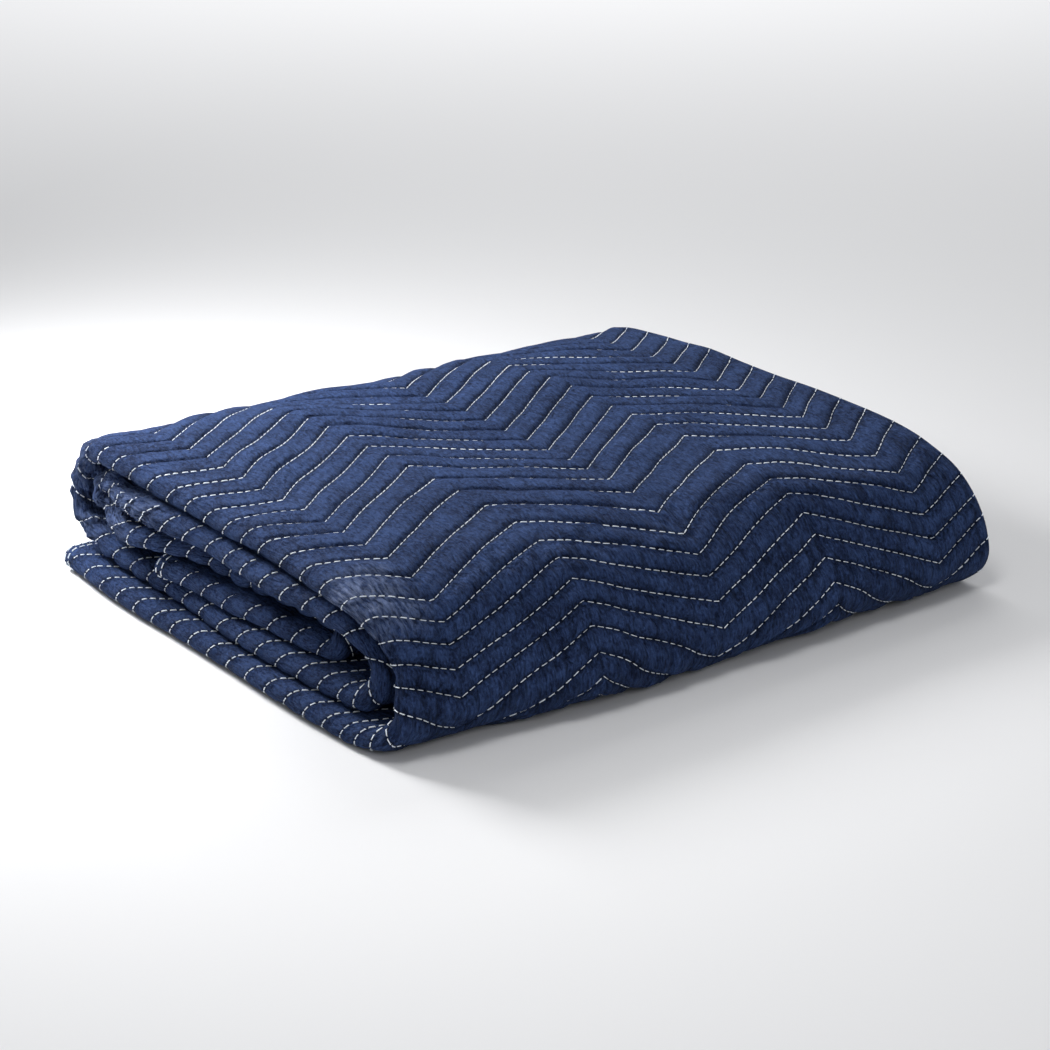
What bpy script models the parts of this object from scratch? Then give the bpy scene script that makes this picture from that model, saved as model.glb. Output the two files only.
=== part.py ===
"""Quilted moving blanket, put away: folded in four across its width, then rolled flat into six layers.

The blanket is one piece of cloth, so it is one solid. Its section, seen from the left end, is the strip of
four sheets going back and forth through six layers. X runs along the folds, with the fat folded rims on
the left and the hemmed side edges on the right. Y runs from the front fold to the back, and Z is up.
"""

from collections import namedtuple

import bmesh
import bpy
import numpy as np

MM = 0.001

# The cloth
SHEETS = 4
SHEET_THICKNESS = 3.5 * MM
STRIP = SHEETS * SHEET_THICKNESS
ROW_PITCH = 21 * MM
ZIGZAG_ARM = 86.5 * MM
ZIGZAG_RISE = 63 * MM
CHANNEL_DEPTH = 1.8 * MM

# The rims of the strip
LEFT_RIM_ROUND = 9 * MM
RIGHT_RIM_ROUND = 7 * MM
HEM_ROUND = 1.5 * MM
SIDE_GROOVE = 8 * MM
HEM_INSET = 3 * MM
END_BULGE = 1.5 * MM
END_GROOVE = 3 * MM

# The slant of the pile: its height grows a little to the left and falls to the right
HEIGHT_AT_LEFT = 1.01
HEIGHT_AT_RIGHT = 0.965
HALF_LENGTH = 220 * MM
UPRIGHT_FROM = -215 * MM
LEANING_FROM = -60 * MM
DROOPING_FROM = -150 * MM
DROOPING_WIDTH = 60 * MM
DROOPING_MOST = 1.2

# How finely the surface is divided
COLUMNS_PER_ARM = 4
ZIGZAG_CORNERS = 2
SAMPLES_PER_KNOT = 24
STATIONS_PER_ROW = 2
LONGEST_STEP = 90 * MM
SHARPEST_STEP = np.radians(40)
TURN_KNOTS = 5

# One row for each place where the middle of the strip changes height or direction, from the hemmed end under
# the pile to the hemmed end inside it, in millimetres. left and right are the rims' places along X. upright
# is how much further back that place lies at the left end, where the front folds stand straighter. droop is how
# far the left rim hangs down. turn says that the strip goes round in a half circle from here to the next row.
Knot = namedtuple("Knot", "place y z left right upright droop turn", defaults=(0, 0, False))
KNOTS = (
    Knot("bottom end", 187, 7, -213, 210),
    Knot("bottom", 119, 7, -219, 213),
    Knot("bottom", 14, 7, -219, 214),
    Knot("bottom", -100, 7, -221, 215, 4),
    Knot("bottom", -156, 7, -219, 216, 14),
    Knot("outer front fold", -178, 11.5, -216, 218, 17),
    Knot("outer front fold", -186, 22, -212, 219, 17),
    Knot("outer front fold", -182.5, 36, -208, 220, 16),
    Knot("outer front fold", -175, 49, -206, 220, 12),
    Knot("outer front fold", -166.5, 60, -208, 219, 7),
    Knot("outer front fold", -156, 69, -212, 218, 2),
    Knot("outer front fold", -139, 76, -215, 217, 0, 0.5),
    Knot("top", -112, 82, -214, 217, 0, 3),
    Knot("top", -70, 85.5, -211, 218, 0, 6.3),
    Knot("top", -7, 88, -209, 218, 0, 7),
    Knot("top", 77, 89.5, -209, 218, 0, 7),
    Knot("top", 140, 87, -208, 217, 0, 4.5),
    Knot("outer back fold", 163, 80, -206, 216, 0, 1),
    Knot("outer back fold", 179, 65, -204, 215),
    Knot("outer back fold", 186, 48.5, -203, 214),
    Knot("outer back fold", 181, 34, -204, 213),
    Knot("outer back fold", 165, 28, -206, 213),
    Knot("fifth layer", 140, 26.5, -206, 213, 0, 4),
    Knot("fifth layer", 56, 23.5, -207, 214, 0, 2.3),
    Knot("fifth layer", -28, 22, -213, 215, 0, 1.2),
    Knot("fifth layer", -112, 22, -211, 214, 2, 1.2),
    Knot("middle front fold", -145.5, 22.5, -210, 213, 12),
    Knot("middle front fold", -158, 31.5, -207, 212, 16),
    Knot("middle front fold", -159, 42.5, -206, 212, 14),
    Knot("middle front fold", -150, 52, -208, 212, 9),
    Knot("middle front fold", -136, 58.5, -211, 213, 4),
    Knot("second layer", -112, 66, -213, 214, 0, 2.8),
    Knot("second layer", -49, 68, -214, 215, 0, 4),
    Knot("second layer", 14, 72, -211, 215, 0, 6),
    Knot("second layer", 48, 73.5, -214, 214, 0, 6.5),
    Knot("second layer", 82, 73, -217, 214, 0, 6.5),
    Knot("second layer", 113, 66.5, -213, 213, 0, 4),
    Knot("inner back fold", 149, 65.5, -203, 212, 0, 2.5, True),
    Knot("inner back fold", 149, 48.5, -203, 211, 0, 2.5),
    Knot("third layer", 107, 48.5, -216, 211, 0, 3),
    Knot("third layer", 80, 55.5, -215, 212, 0, 5),
    Knot("third layer", 50, 56.5, -208, 212, 0, 5),
    Knot("third layer", 14, 54.5, -201, 213, 0, 5),
    Knot("third layer", -49, 53, -198, 212, 0, 3.5),
    Knot("inner front fold", -93, 51.6, -198, 211, 0, 2, True),
    Knot("inner front fold", -93, 36.8, -202, 211, 0, 2),
    Knot("fourth layer", -28, 37.2, -208, 212, 0, 2),
    Knot("fourth layer", 40, 38, -210, 212, 0, 2.8),
    Knot("inside end", 74, 40.3, -213, 210, 0, 4.2),
)
FIRST_QUILTED_PLACE = 3
LAST_QUILTED_PLACE = 22
ROW_ON_TOP_Y = 56 * MM

# Heights across the strip, in shares of its thickness, and whether the sheets part there
SEAM_ROOM = 0.04
EDGE_ROOM = 0.04
SHEET_SHARE = 1 / SHEETS


def heights_across():
    """The rows of points across the strip, from its outer face to its inner face, with a groove between sheets."""
    rows = [(0.5, False)]
    for sheet in range(SHEETS):
        top = 0.5 - sheet * SHEET_SHARE
        bottom = top - SHEET_SHARE
        first = top - (EDGE_ROOM if sheet == 0 else SEAM_ROOM)
        last = bottom + (EDGE_ROOM if sheet == SHEETS - 1 else SEAM_ROOM)
        rows += [(first, False), (last, False)]
        if sheet < SHEETS - 1:
            rows.append((bottom, True))
    rows.append((-0.5, False))
    return rows


ACROSS = heights_across()


def with_turns(knots):
    """The knots as (y, z, left, right, upright, droop), with the points of each half circle put in."""
    points = []
    quilted = []
    for index, knot in enumerate(knots):
        if index in (FIRST_QUILTED_PLACE, LAST_QUILTED_PLACE):
            quilted.append(len(points))
        here = np.array([knot.y, knot.z, knot.left, knot.right, knot.upright, knot.droop]) * MM
        points.append(here)
        if knot.turn:
            after = knots[index + 1]
            there = np.array([after.y, after.z, after.left, after.right, after.upright, after.droop]) * MM
            radius = abs(here[1] - there[1]) / 2
            outward = 1 if knot.y > 0 else -1
            for step in range(1, TURN_KNOTS + 1):
                share = step / (TURN_KNOTS + 1)
                angle = np.pi * share
                point = here + (there - here) * share
                point[0] = here[0] + outward * radius * np.sin(angle)
                point[1] = (here[1] + there[1]) / 2 + radius * np.cos(angle)
                points.append(point)
    return np.array(points), quilted


def smooth_line(points):
    """A smooth curve through the points, sampled closely, and the sample at which each point lies."""
    chord = np.sqrt(np.linalg.norm(np.diff(points[:, :2], axis=0), axis=1))
    at = np.concatenate([[0], np.cumsum(chord)])
    slopes = np.zeros_like(points)
    before = (points[1:-1] - points[:-2]) / np.diff(at)[:-1, None]
    after = (points[2:] - points[1:-1]) / np.diff(at)[1:, None]
    width_before = np.diff(at)[:-1, None]
    width_after = np.diff(at)[1:, None]
    slopes[1:-1] = (before * width_after + after * width_before) / (width_before + width_after)
    slopes[0] = (points[1] - points[0]) / (at[1] - at[0])
    slopes[-1] = (points[-1] - points[-2]) / (at[-1] - at[-2])
    samples = []
    for index in range(len(points) - 1):
        width = at[index + 1] - at[index]
        share = np.linspace(0, 1, SAMPLES_PER_KNOT, endpoint=False)[:, None]
        samples.append(
            (2 * share**3 - 3 * share**2 + 1) * points[index]
            + (share**3 - 2 * share**2 + share) * width * slopes[index]
            + (3 * share**2 - 2 * share**3) * points[index + 1]
            + (share**3 - share**2) * width * slopes[index + 1]
        )
    samples.append(points[-1:])
    return np.concatenate(samples), np.arange(len(points)) * SAMPLES_PER_KNOT


class Strip:
    """The four sheets together, followed along their length."""

    def __init__(self):
        points, quilted = with_turns(KNOTS)
        self.line, at_knot = smooth_line(points)
        step = np.linalg.norm(np.diff(self.line[:, :2], axis=0), axis=1)
        self.along = np.concatenate([[0], np.cumsum(step)])
        self.length = self.along[-1]
        self.quilt_from, self.quilt_to = self.along[at_knot[quilted]]
        way = np.gradient(self.line[:, :2], self.along, axis=0)
        self.way = way / np.linalg.norm(way, axis=1)[:, None]
        self.row_phase = self.place_on_top(ROW_ON_TOP_Y) + ZIGZAG_RISE / 2

    def place_on_top(self, y):
        """How far along the strip its top layer passes y."""
        quilted = (self.along >= self.quilt_from) & (self.along <= self.quilt_to)
        on_top = quilted & (self.way[:, 0] > 0)
        return float(np.interp(y, self.line[on_top, 0], self.along[on_top]))

    def read(self, at):
        """The middle line's columns, and the way it runs, at distances along it."""
        line = np.stack([np.interp(at, self.along, column) for column in self.line.T], axis=-1)
        way = np.stack([np.interp(at, self.along, column) for column in self.way.T], axis=-1)
        return line, way / np.linalg.norm(way, axis=-1, keepdims=True)

    def lean(self, at):
        """How much of the zigzag the stations follow: all of it on the quilted faces, none at the hemmed ends."""
        rising = np.clip((at - ROW_PITCH) / (self.quilt_from - 3 * ROW_PITCH), 0, 1)
        falling = np.clip(1 - (at - self.quilt_to) / (9 * ROW_PITCH), 0, 1)
        return np.minimum(rising, falling)

    def stations(self):
        """The distances along the strip at which it is divided, and which of them are stitched rows."""
        half_row = ROW_PITCH / STATIONS_PER_ROW
        first = int(np.ceil((self.quilt_from - self.row_phase) / half_row))
        last = int(np.floor((self.quilt_to - self.row_phase) / half_row))
        quilted = self.row_phase + half_row * np.arange(first, last + 1)
        rows = np.arange(first, last + 1) % STATIONS_PER_ROW == 0
        before = self.plain_stations(0, quilted[0])[:-1]
        after = self.plain_stations(quilted[-1], self.length)[1:]
        places = np.concatenate([before, quilted, after])
        stitched = np.concatenate([np.zeros(len(before), bool), rows, np.zeros(len(after), bool)])
        return places, stitched

    def plain_stations(self, start, end):
        """Distances from start to end, close together where the strip bends and far apart where it is straight."""
        inside = (self.along > start) & (self.along < end)
        places = np.concatenate([[start], self.along[inside], [end]])
        _, way = self.read(places)
        turned = np.abs(np.diff(np.unwrap(np.arctan2(way[:, 1], way[:, 0]))))
        cost = np.concatenate([[0], np.cumsum(turned / SHARPEST_STEP + np.diff(places) / LONGEST_STEP)])
        count = int(np.ceil(cost[-1])) + 1
        return np.interp(np.linspace(0, cost[-1], count), cost, places)


def zigzag(x):
    """The stitched rows' shift along the strip at x, as a share of their rise from -0.5 to 0.5."""
    phase = np.abs(((x / ZIGZAG_ARM) + 1) % 2 - 1)
    return phase - 0.5


def ease(share):
    share = np.clip(share, 0, 1)
    return share * share * (3 - 2 * share)


def place(strip, at, x, across, push=0.0):
    """The point at a distance along the strip, at x, and at a height across it, in metres from its middle."""
    line, way = strip.read(at)
    upright = ease((LEANING_FROM - x) / (LEANING_FROM - UPRIGHT_FROM))
    y = line[..., 0] + line[..., 4] * upright - way[..., 1] * across + way[..., 0] * push
    z = line[..., 1] + way[..., 0] * across + way[..., 1] * push
    drooping = np.clip((DROOPING_FROM - x) / DROOPING_WIDTH, 0, DROOPING_MOST)
    z = z - line[..., 5] * drooping**2
    tilt = (x + HALF_LENGTH) / (2 * HALF_LENGTH)
    z = z * (HEIGHT_AT_LEFT + (HEIGHT_AT_RIGHT - HEIGHT_AT_LEFT) * tilt)
    return np.stack([x + 0 * y, y, np.maximum(z, 0)], axis=-1)


def rim_inset(share, groove, on_left):
    """How far inside the rim's outermost point the rim lies at a height across the strip."""
    if on_left:
        return LEFT_RIM_ROUND * (1 - np.sqrt(max(0, 1 - (2 * share) ** 2)))
    if groove and share <= 0:
        return SIDE_GROOVE
    if share >= 0:
        return RIGHT_RIM_ROUND * (1 - np.sqrt(max(0, 1 - (4 * share - 1) ** 2)))
    middle = -SHEET_SHARE / 2 if share > -SHEET_SHARE else -3 * SHEET_SHARE / 2
    return HEM_INSET + HEM_ROUND * (2 * abs(share - middle) / SHEET_SHARE) ** 2


def rim_point(strip, station, share, groove, on_left):
    """A point on the left or right rim at a station of the strip."""
    edge = -HALF_LENGTH if on_left else HALF_LENGTH
    at = station + strip.lean(station) * ZIGZAG_RISE * zigzag(edge)
    line, _ = strip.read(at)
    inset = rim_inset(share, groove, on_left)
    x = line[2] + inset if on_left else line[3] - inset
    return place(strip, at, x, share * STRIP)


def face_columns(strip, station, share):
    """The points across one face of the strip at a station, from the left rim to the right rim."""
    first = rim_point(strip, station, share, False, True)
    last = rim_point(strip, station, share, False, False)
    count = ZIGZAG_CORNERS * COLUMNS_PER_ARM
    inner = np.arange(-count, count + 1) * ZIGZAG_ARM / COLUMNS_PER_ARM
    x = np.concatenate([[(first[0] + inner[0]) / 2], inner, [(last[0] + inner[-1]) / 2]])
    at = station + strip.lean(station) * ZIGZAG_RISE * zigzag(x)
    return first, x, at, last


def ring(strip, station, stitched):
    """The closed row of points around the strip at a station: outer face, right rim, inner face, left rim."""
    faces = []
    for share in (0.5, -0.5):
        first, x, at, last = face_columns(strip, station, share)
        depth = CHANNEL_DEPTH if stitched and share > 0 else 0
        inner = place(strip, at, x, share * STRIP - depth)
        faces.append(np.concatenate([[first], inner, [last]]))
    right = [rim_point(strip, station, share, groove, False) for share, groove in ACROSS[1:-1]]
    left = [rim_point(strip, station, share, groove, True) for share, groove in ACROSS[1:-1]]
    return np.concatenate([faces[0], right, faces[1][::-1], left[::-1]])


def end_grid(strip, station, outward):
    """The points inside a hemmed end: four sheet edges with a groove between each two."""
    rows = []
    for share, groove in ACROSS[1:-1]:
        _, x, at, _ = face_columns(strip, station, share)
        fade = ease((x - x[0]) / (x[2] - x[0]))
        push = outward * (END_BULGE - (END_BULGE + END_GROOVE) * fade * groove)
        rows.append(place(strip, at, x, share * STRIP, push))
    return rows


def blanket_mesh(strip):
    """The closed skin of the folded blanket."""
    mesh = bmesh.new()
    stations, stitched = strip.stations()
    rings = [
        [mesh.verts.new(point) for point in ring(strip, station, row)]
        for station, row in zip(stations, stitched)
    ]
    around = len(rings[0])
    for one, two in zip(rings[:-1], rings[1:]):
        for index in range(around):
            after = (index + 1) % around
            mesh.faces.new((one[index], one[after], two[after], two[index]))
    close_end(mesh, rings[0], end_grid(strip, stations[0], -1), False)
    close_end(mesh, rings[-1], end_grid(strip, stations[-1], 1), True)
    bmesh.ops.recalc_face_normals(mesh, faces=mesh.faces)
    bmesh.ops.triangulate(mesh, faces=mesh.faces)
    return mesh


def close_end(mesh, border, inside, flipped):
    """Fills a hemmed end between the ring that borders it and its inside points."""
    columns = len(inside[0]) + 2
    rows = len(inside) + 2
    outer = border[:columns]
    right = border[columns : columns + rows - 2]
    inner = border[columns + rows - 2 : 2 * columns + rows - 2][::-1]
    left = border[2 * columns + rows - 2 :][::-1]
    grid = [outer]
    for index, points in enumerate(inside):
        grid.append([left[index], *[mesh.verts.new(point) for point in points], right[index]])
    grid.append(inner)
    for upper, lower in zip(grid[:-1], grid[1:]):
        for index in range(columns - 1):
            corners = (upper[index], lower[index], lower[index + 1], upper[index + 1])
            mesh.faces.new(corners[::-1] if flipped else corners)


def cloth_material():
    material = bpy.data.materials.new("navy_quilted_cloth")
    material.use_nodes = True
    shader = material.node_tree.nodes["Principled BSDF"]
    shader.inputs["Base Color"].default_value = (0.030, 0.048, 0.125, 1)
    shader.inputs["Roughness"].default_value = 0.9
    shader.inputs["Metallic"].default_value = 0.0
    material.diffuse_color = (0.030, 0.048, 0.125, 1)
    return material


def main():
    for old in list(bpy.data.objects):
        bpy.data.objects.remove(old, do_unlink=True)
    collection = bpy.data.collections.new("moving_blanket")
    bpy.context.scene.collection.children.link(collection)
    folded = blanket_mesh(Strip())
    places = np.array([vert.co for vert in folded.verts])
    middle = (places.min(axis=0) + places.max(axis=0)) / 2
    bmesh.ops.translate(folded, verts=folded.verts, vec=(-middle[0], -middle[1], 0))
    data = bpy.data.meshes.new("blanket")
    folded.to_mesh(data)
    folded.free()
    data.shade_smooth()
    data.materials.append(cloth_material())
    blanket = bpy.data.objects.new("blanket", data)
    collection.objects.link(blanket)


main()
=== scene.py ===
"""Quilted moving blanket, folded in four across its width and rolled flat: cloth, stitches, light and camera."""

from collections import namedtuple

import bpy
import numpy as np
from mathutils import Matrix, Vector


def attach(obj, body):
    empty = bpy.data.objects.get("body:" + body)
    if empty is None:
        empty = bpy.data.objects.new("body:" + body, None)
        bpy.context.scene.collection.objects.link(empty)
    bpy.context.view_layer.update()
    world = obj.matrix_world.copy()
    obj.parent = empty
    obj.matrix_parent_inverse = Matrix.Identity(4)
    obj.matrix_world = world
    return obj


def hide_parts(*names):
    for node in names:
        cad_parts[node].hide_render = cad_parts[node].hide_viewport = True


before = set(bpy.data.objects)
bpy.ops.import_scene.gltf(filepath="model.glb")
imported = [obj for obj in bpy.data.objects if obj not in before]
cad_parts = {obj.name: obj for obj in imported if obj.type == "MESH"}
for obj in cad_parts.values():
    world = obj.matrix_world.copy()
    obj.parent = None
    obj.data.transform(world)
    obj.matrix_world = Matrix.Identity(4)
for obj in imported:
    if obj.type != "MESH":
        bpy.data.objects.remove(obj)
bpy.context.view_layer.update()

MM = 0.001

# The strip of four sheets, as the part has it
ROW_PITCH = 21 * MM
ARM = 86.5 * MM
HEIGHT_AT_LEFT = 1.01
HEIGHT_AT_RIGHT = 0.965
HALF_LENGTH = 220 * MM
UPRIGHT_FROM = -215 * MM
LEANING_FROM = -60 * MM
DROOPING_FROM = -150 * MM
DROOPING_WIDTH = 60 * MM
DROOPING_MOST = 1.2
TO_ROW_X = 0.377 * MM
TO_ROW_Y = 0.082 * MM
SAMPLES_PER_KNOT = 24
TURN_KNOTS = 5

# One point of the strip's middle line in mm, and where its two rims lie there. upright moves its left part towards
# the back, droop lowers its left rim, and a turn goes round to the next knot in a half circle.
Knot = namedtuple("Knot", "place y z left right upright droop turn", defaults=(0, 0, False))
KNOTS = (
    Knot("bottom end", 187, 7, -213, 210),
    Knot("bottom", 119, 7, -219, 213),
    Knot("bottom", 14, 7, -219, 214),
    Knot("bottom", -100, 7, -221, 215, 4),
    Knot("bottom", -156, 7, -219, 216, 14),
    Knot("outer front fold", -178, 11.5, -216, 218, 17),
    Knot("outer front fold", -186, 22, -212, 219, 17),
    Knot("outer front fold", -182.5, 36, -208, 220, 16),
    Knot("outer front fold", -175, 49, -206, 220, 12),
    Knot("outer front fold", -166.5, 60, -208, 219, 7),
    Knot("outer front fold", -156, 69, -212, 218, 2),
    Knot("outer front fold", -139, 76, -215, 217, 0, 0.5),
    Knot("top", -112, 82, -214, 217, 0, 3),
    Knot("top", -70, 85.5, -211, 218, 0, 6.3),
    Knot("top", -7, 88, -209, 218, 0, 7),
    Knot("top", 77, 89.5, -209, 218, 0, 7),
    Knot("top", 140, 87, -208, 217, 0, 4.5),
    Knot("outer back fold", 163, 80, -206, 216, 0, 1),
    Knot("outer back fold", 179, 65, -204, 215),
    Knot("outer back fold", 186, 48.5, -203, 214),
    Knot("outer back fold", 181, 34, -204, 213),
    Knot("outer back fold", 165, 28, -206, 213),
    Knot("fifth layer", 140, 26.5, -206, 213, 0, 4),
    Knot("fifth layer", 56, 23.5, -207, 214, 0, 2.3),
    Knot("fifth layer", -28, 22, -213, 215, 0, 1.2),
    Knot("fifth layer", -112, 22, -211, 214, 2, 1.2),
    Knot("middle front fold", -145.5, 22.5, -210, 213, 12),
    Knot("middle front fold", -158, 31.5, -207, 212, 16),
    Knot("middle front fold", -159, 42.5, -206, 212, 14),
    Knot("middle front fold", -150, 52, -208, 212, 9),
    Knot("middle front fold", -136, 58.5, -211, 213, 4),
    Knot("second layer", -112, 66, -213, 214, 0, 2.8),
    Knot("second layer", -49, 68, -214, 215, 0, 4),
    Knot("second layer", 14, 72, -211, 215, 0, 6),
    Knot("second layer", 48, 73.5, -214, 214, 0, 6.5),
    Knot("second layer", 82, 73, -217, 214, 0, 6.5),
    Knot("second layer", 113, 66.5, -213, 213, 0, 4),
    Knot("inner back fold", 149, 65.5, -203, 212, 0, 2.5, True),
    Knot("inner back fold", 149, 48.5, -203, 211, 0, 2.5),
    Knot("third layer", 107, 48.5, -216, 211, 0, 3),
    Knot("third layer", 80, 55.5, -215, 212, 0, 5),
    Knot("third layer", 50, 56.5, -208, 212, 0, 5),
    Knot("third layer", 14, 54.5, -201, 213, 0, 5),
    Knot("third layer", -49, 53, -198, 212, 0, 3.5),
    Knot("inner front fold", -93, 51.6, -198, 211, 0, 2, True),
    Knot("inner front fold", -93, 36.8, -202, 211, 0, 2),
    Knot("fourth layer", -28, 37.2, -208, 212, 0, 2),
    Knot("fourth layer", 40, 38, -210, 212, 0, 2.8),
    Knot("inside end", 74, 40.3, -213, 210, 0, 4.2),
)

# The stitched rows: how far along the strip each one's front corners lie, and how far its zigzag rises, in mm.
# On the front face the cloth bunches, so the rows lie closer and their zigzag is flatter.
RISE = 63 * MM
WANDER = 0.026
WANDER_LENGTH = 15 * MM
FrontRow = namedtuple("FrontRow", "row corner rise")
FRONT_ROWS = (
    FrontRow(-19, 291, 63),
    FrontRow(-18, 312, 60),
    FrontRow(-17, 333, 47.5),
    FrontRow(-16, 353, 38),
    FrontRow(-15, 371, 34.7),
    FrontRow(-14, 384.4, 34.6),
    FrontRow(-13, 398.6, 32.4),
    FrontRow(-12, 414, 30.5),
    FrontRow(-11, 428, 33),
    FrontRow(-10, 441, 42),
    FrontRow(-9, 461, 49),
    FrontRow(-8, 483, 54),
    FrontRow(-7, 504, 59),
    FrontRow(-6, 525, 61),
    FrontRow(-5, 546, 63),
)

# The sheets inside the strip
HALF_STRIP = 6.9 * MM
HALF_GAP = 0.2 * MM
SHEET = 3.2 * MM
SHEET_PITCH = 3.5 * MM
HEM_THICKER = 0.35 * MM
HEM_WIDTH = 14 * MM
SIDE_EDGE_IN = 4 * MM

# Slow waves of the whole pile, from the floor up
LIFTED_BY = 30 * MM

# The quilting's relief
GROOVE = 1.5 * MM
PUFF_ON_TOP = 1.1 * MM
PUFF_ON_FRONT = 1.5 * MM
PUFF_VARIES = 0.9
PUFF_ROUNDNESS = 0.6
RIM_FROM = -198 * MM
RIM_GROOVE_LESS = 0.55
RIM_PUFF_LESS = 0.9
GATHERS_OFF = 0.14
GATHERS_WIDTH = 0.15
CREASE_WIDTH = 0.3
CRUMPLE = 2.8 * MM
UNEVEN = 0.5 * MM
STITCHED_LONGER = 1.24


def hashed(a, b, seed):
    """A fixed number from 0 to 1 for each pair of whole numbers."""
    mixed = (a.astype(np.int64) * 374761393 + b.astype(np.int64) * 668265263 + seed * 362437) & 0xFFFFFFFF
    mixed = ((mixed ^ (mixed >> 13)) * 1274126177) & 0xFFFFFFFF
    return ((mixed ^ (mixed >> 16)) & 0xFFFF) / 65535


def waves(a, b, seed):
    """Smooth bumps from -1 to 1 on a grid of whole numbers."""
    a, b = np.broadcast_arrays(np.asarray(a, float), np.asarray(b, float))
    left, low = np.floor(a), np.floor(b)
    across, up = a - left, b - low
    across = across * across * (3 - 2 * across)
    up = up * up * (3 - 2 * up)
    near = hashed(left, low, seed) * (1 - across) + hashed(left + 1, low, seed) * across
    far = hashed(left, low + 1, seed) * (1 - across) + hashed(left + 1, low + 1, seed) * across
    return (near * (1 - up) + far * up) * 2 - 1


def ease(share):
    """A smooth step from 0 to 1."""
    share = np.clip(share, 0, 1)
    return share * share * (3 - 2 * share)


def unit(vectors):
    return vectors / np.maximum(np.linalg.norm(vectors, axis=-1, keepdims=True), 1e-9)


def knot_point(knot):
    return np.array([knot.y, knot.z, knot.left, knot.right, knot.upright, knot.droop]) * MM


def with_turns():
    """The knots' points with the half circles between them, and each point's place in the strip."""
    points = []
    places = []
    for index, knot in enumerate(KNOTS):
        here = knot_point(knot)
        points.append(here)
        places.append(knot.place)
        if knot.turn:
            there = knot_point(KNOTS[index + 1])
            radius = abs(here[1] - there[1]) / 2
            outward = 1 if knot.y > 0 else -1
            for step in range(1, TURN_KNOTS + 1):
                share = step / (TURN_KNOTS + 1)
                point = here + (there - here) * share
                point[0] = here[0] + outward * radius * np.sin(np.pi * share)
                point[1] = (here[1] + there[1]) / 2 + radius * np.cos(np.pi * share)
                points.append(point)
                places.append(knot.place)
    return np.array(points), places


def smooth_line(points):
    """A smooth curve through the points, whose speed follows the gaps between them."""
    chord = np.sqrt(np.linalg.norm(np.diff(points[:, :2], axis=0), axis=1))
    at = np.concatenate([[0], np.cumsum(chord)])
    width = np.diff(at)[:, None]
    slope = np.diff(points, axis=0) / width
    slopes = np.concatenate([
        slope[:1],
        (slope[:-1] * width[1:] + slope[1:] * width[:-1]) / (width[:-1] + width[1:]),
        slope[-1:],
    ])
    share = np.linspace(0, 1, SAMPLES_PER_KNOT, endpoint=False)[:, None]
    samples = []
    for index in range(len(points) - 1):
        samples.append(
            (2 * share**3 - 3 * share**2 + 1) * points[index]
            + (share**3 - 2 * share**2 + share) * width[index] * slopes[index]
            + (3 * share**2 - 2 * share**3) * points[index + 1]
            + (share**3 - share**2) * width[index] * slopes[index + 1]
        )
    samples.append(points[-1:])
    return np.concatenate(samples)


KNOT_POINTS, KNOT_PLACES = with_turns()
LINE = smooth_line(KNOT_POINTS)
ALONG = np.concatenate([[0], np.cumsum(np.linalg.norm(np.diff(LINE[:, :2], axis=0), axis=1))])
LENGTH = float(ALONG[-1])
WAY = np.gradient(LINE[:, :2], ALONG, axis=0)
WAY /= np.linalg.norm(WAY, axis=1)[:, None]
HEADING = np.unwrap(np.arctan2(WAY[:, 1], WAY[:, 0]))


def span_of(place):
    """Where along the strip the knots of that name begin and end."""
    found = [index for index, name in enumerate(KNOT_PLACES) if name == place]
    return ALONG[found[0] * SAMPLES_PER_KNOT], ALONG[found[-1] * SAMPLES_PER_KNOT]


def within(s, start, end, soft):
    """1 between start and end along the strip, and 0 outside, with soft edges."""
    return ease((s - start + soft) / soft) * ease((end + soft - s) / soft)


FRONT_SPAN = span_of("outer front fold")
BACK_SPAN = span_of("outer back fold")
INNER_BACK_SPAN = span_of("inner back fold")
LINE_Y, LINE_Z, LINE_LEFT, LINE_RIGHT, LINE_UPRIGHT, LINE_DROOP = range(6)


def read(s, column):
    """One of the line's values at s along the strip."""
    return np.interp(s, ALONG, LINE[:, column])


def place(s, x, n):
    """The point at s along the strip, at x, and n above its middle, in the row's frame."""
    y = read(s, LINE_Y)
    z = read(s, LINE_Z)
    heading = np.interp(s, ALONG, HEADING)
    upright = ease((LEANING_FROM - x) / (LEANING_FROM - UPRIGHT_FROM))
    y = y + read(s, LINE_UPRIGHT) * upright - np.sin(heading) * n
    z = z + np.cos(heading) * n
    z = z - read(s, LINE_DROOP) * np.clip((DROOPING_FROM - x) / DROOPING_WIDTH, 0, DROOPING_MOST) ** 2
    tilt = (x + HALF_LENGTH) / (2 * HALF_LENGTH)
    z = z * (HEIGHT_AT_LEFT + (HEIGHT_AT_RIGHT - HEIGHT_AT_LEFT) * tilt)
    lifted = np.clip(z / LIFTED_BY, 0, 1)
    y = y + 1.6 * MM * waves(x / (75 * MM), z / (50 * MM) + y / (140 * MM), 3) * lifted
    y = y + 1.7 * MM * waves(x / (40 * MM), z / (50 * MM) + y / (45 * MM), 5) * lifted
    z = z + 1.5 * MM * waves(x / (80 * MM), y / (70 * MM), 4) * lifted
    z = z + 1.2 * MM * waves(x / (38 * MM), y / (31 * MM), 6) * lifted
    return np.stack([x + TO_ROW_X, y + TO_ROW_Y, np.maximum(z, 0)], axis=-1)


def zigzag(w):
    """The shift of a stitched row at w across the cloth, from -0.5 to 0.5, wandering a little between corners."""
    shift = np.abs((w / ARM + 1) % 2 - 1) - 0.5
    return shift + WANDER * waves(w / WANDER_LENGTH, 0.5, 41) * (1 - (2 * shift) ** 2)


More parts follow.
